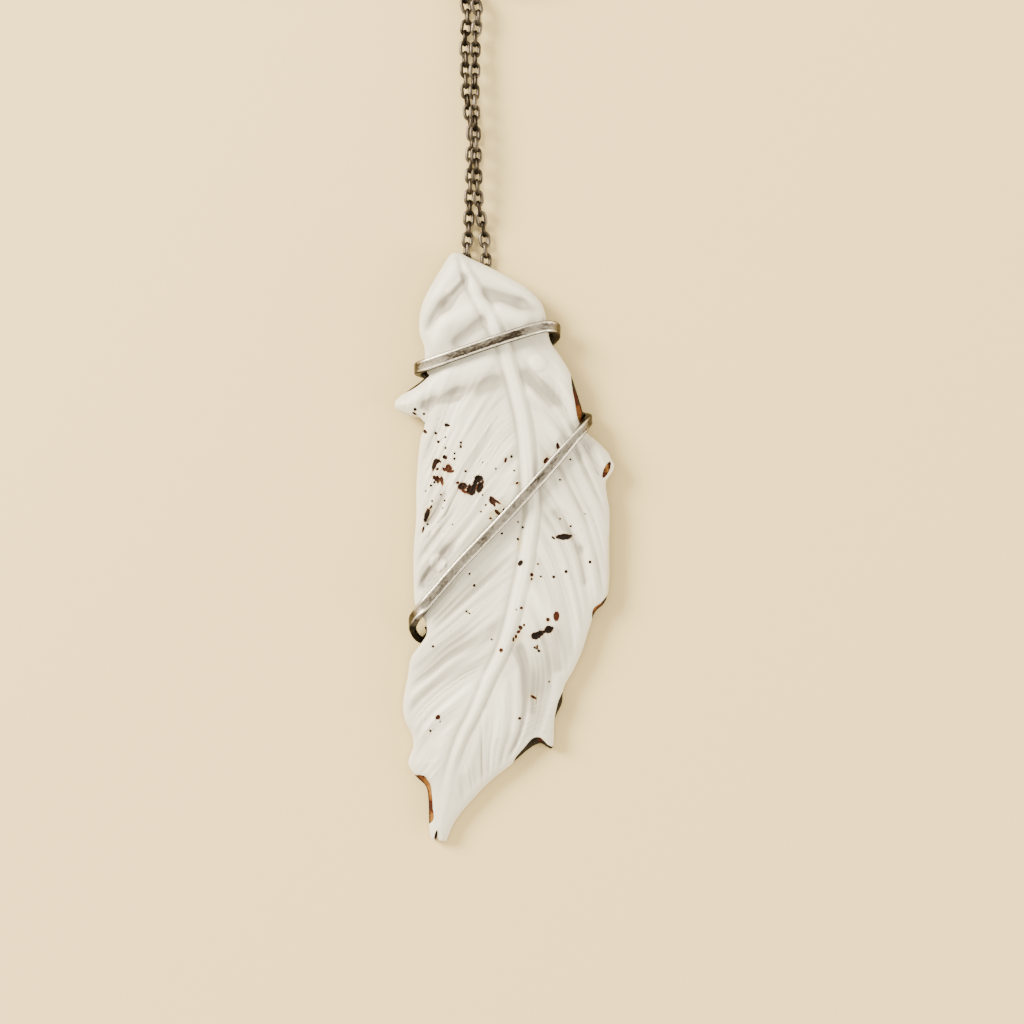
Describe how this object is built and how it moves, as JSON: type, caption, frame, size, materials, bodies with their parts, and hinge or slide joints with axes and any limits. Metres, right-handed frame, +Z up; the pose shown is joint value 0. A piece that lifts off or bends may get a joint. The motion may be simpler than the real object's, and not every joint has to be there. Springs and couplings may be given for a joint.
{
  "type": "feather pendant necklace",
  "caption": "White-glazed iron feather relief, chipped and rust-spotted, bound with flat oxidised silver wire and hung on a fine cable chain with a hook clasp.",
  "frame": {"origin": "centre of the pendant's box (plaque, wrap wire and bail, without the chain), on the surface that it lies on", "axes": "+Z up from the surface, front of the feather up; +Y from the feather's tip to the chain; +X to the right seen from above"},
  "size_m": [0.0245, 0.1177, 0.0055],
  "materials": {
    "white_glaze": "glossy fired white glaze on iron, chipped and rust-spotted",
    "dark_silver": "oxidised silver with bright rubbed edges",
    "blackened_silver": "blackened silver chain"
  },
  "bodies": {
    "root": {"feather_plaque": "white_glaze", "wrap_wire": "dark_silver", "bail": "dark_silver", "chain_left": "blackened_silver", "chain_right": "blackened_silver", "chain_coil": "blackened_silver", "clasp_hook": "dark_silver", "clasp_ring": "dark_silver"}
  },
  "joints": []
}
